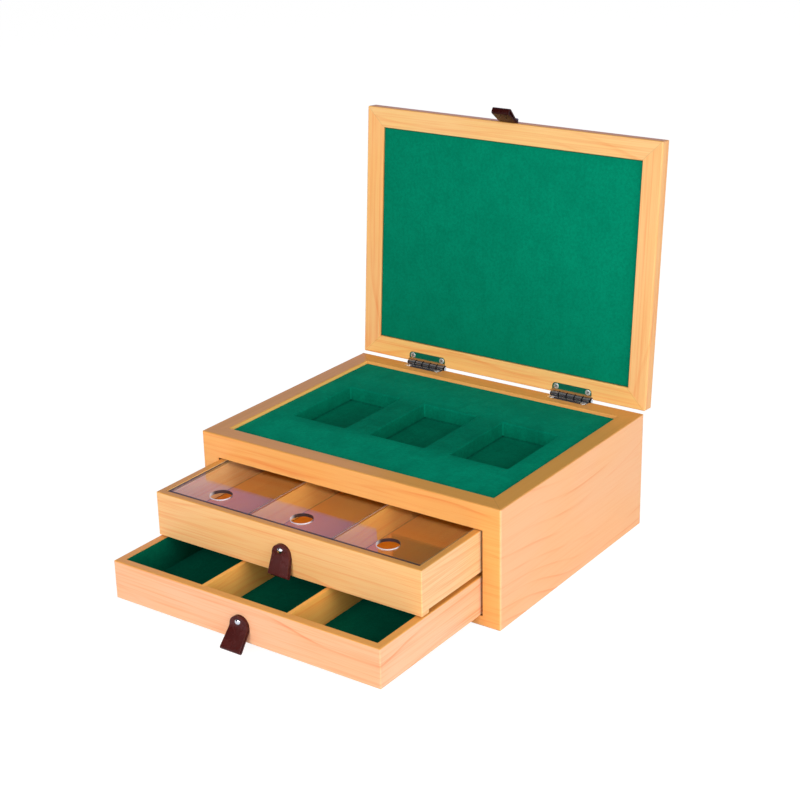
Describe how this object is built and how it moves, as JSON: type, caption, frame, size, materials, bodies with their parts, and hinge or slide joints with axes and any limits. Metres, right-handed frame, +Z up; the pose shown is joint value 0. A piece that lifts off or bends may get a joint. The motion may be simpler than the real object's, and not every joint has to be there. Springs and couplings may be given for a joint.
{
  "type": "coin display box",
  "caption": "Mitred wooden box with a velvet display tray under a stop-hinged lid, and stacked drawers below, one under clear covers, with folded leather pulls.",
  "frame": {"origin": "middle of the case's flat underside, which it stands on", "axes": "+Z up, -Y out of the drawers' front, +X to the right when seen from the front"},
  "size_m": [0.32, 0.4399, 0.3772],
  "materials": {
    "board_wood": "pale fine-grained wood with a satin clear lacquer",
    "panel_wood": "bare pale thin wood",
    "velvet": "green velvet, short pile",
    "drawer_felt": "dark green felt",
    "plated_steel": "bright plated",
    "leather": "smooth dark brown, waxed edges",
    "acrylic": "clear, polished edges"
  },
  "bodies": {
    "case": {"case_front": "board_wood", "case_left": "board_wood", "case_right": "board_wood", "case_back": "board_wood", "case_bottom": "panel_wood", "dust_panel": "panel_wood", "tray_floor": "panel_wood", "tray_core": "panel_wood", "tray_lining": "velvet", "left_hinge_case_leaf": "plated_steel", "right_hinge_case_leaf": "plated_steel", "left_hinge_pin": "plated_steel", "right_hinge_pin": "plated_steel"},
    "lid": {"lid_front_rail": "board_wood", "lid_back_rail": "board_wood", "lid_left_stile": "board_wood", "lid_right_stile": "board_wood", "lid_panel": "board_wood", "lid_lining": "velvet", "left_hinge_lid_leaf": "plated_steel", "right_hinge_lid_leaf": "plated_steel", "lid_loop": "leather", "lid_loop_screw": "plated_steel"},
    "upper_drawer": {"upper_front": "board_wood", "upper_left_side": "board_wood", "upper_right_side": "board_wood", "upper_back": "board_wood", "upper_bottom": "panel_wood", "upper_divider_left": "panel_wood", "upper_divider_right": "panel_wood", "cover_left": "acrylic", "cover_middle": "acrylic", "cover_right": "acrylic", "upper_loop": "leather", "upper_loop_screw": "plated_steel"},
    "lower_drawer": {"lower_front": "board_wood", "lower_left_side": "board_wood", "lower_right_side": "board_wood", "lower_back": "board_wood", "lower_bottom": "panel_wood", "lower_divider_left": "panel_wood", "lower_divider_right": "panel_wood", "lower_floor_lining": "drawer_felt", "lower_wall_lining": "drawer_felt", "lower_loop": "leather", "lower_loop_screw": "plated_steel"}
  },
  "joints": [
    {"name": "lid_hinge", "type": "hinge", "parent": "case", "child": "lid", "pos_m": [0, 0.1258, 0.1123], "axis": [1, 0, 0], "range_deg": [0, 94.1]},
    {"name": "upper_drawer_slide", "type": "slide", "parent": "case", "child": "upper_drawer", "axis": [0, -1, 0], "range_m": [-0.085, 0.085]},
    {"name": "lower_drawer_slide", "type": "slide", "parent": "case", "child": "lower_drawer", "axis": [0, -1, 0], "range_m": [-0.1425, 0.0275]}
  ]
}
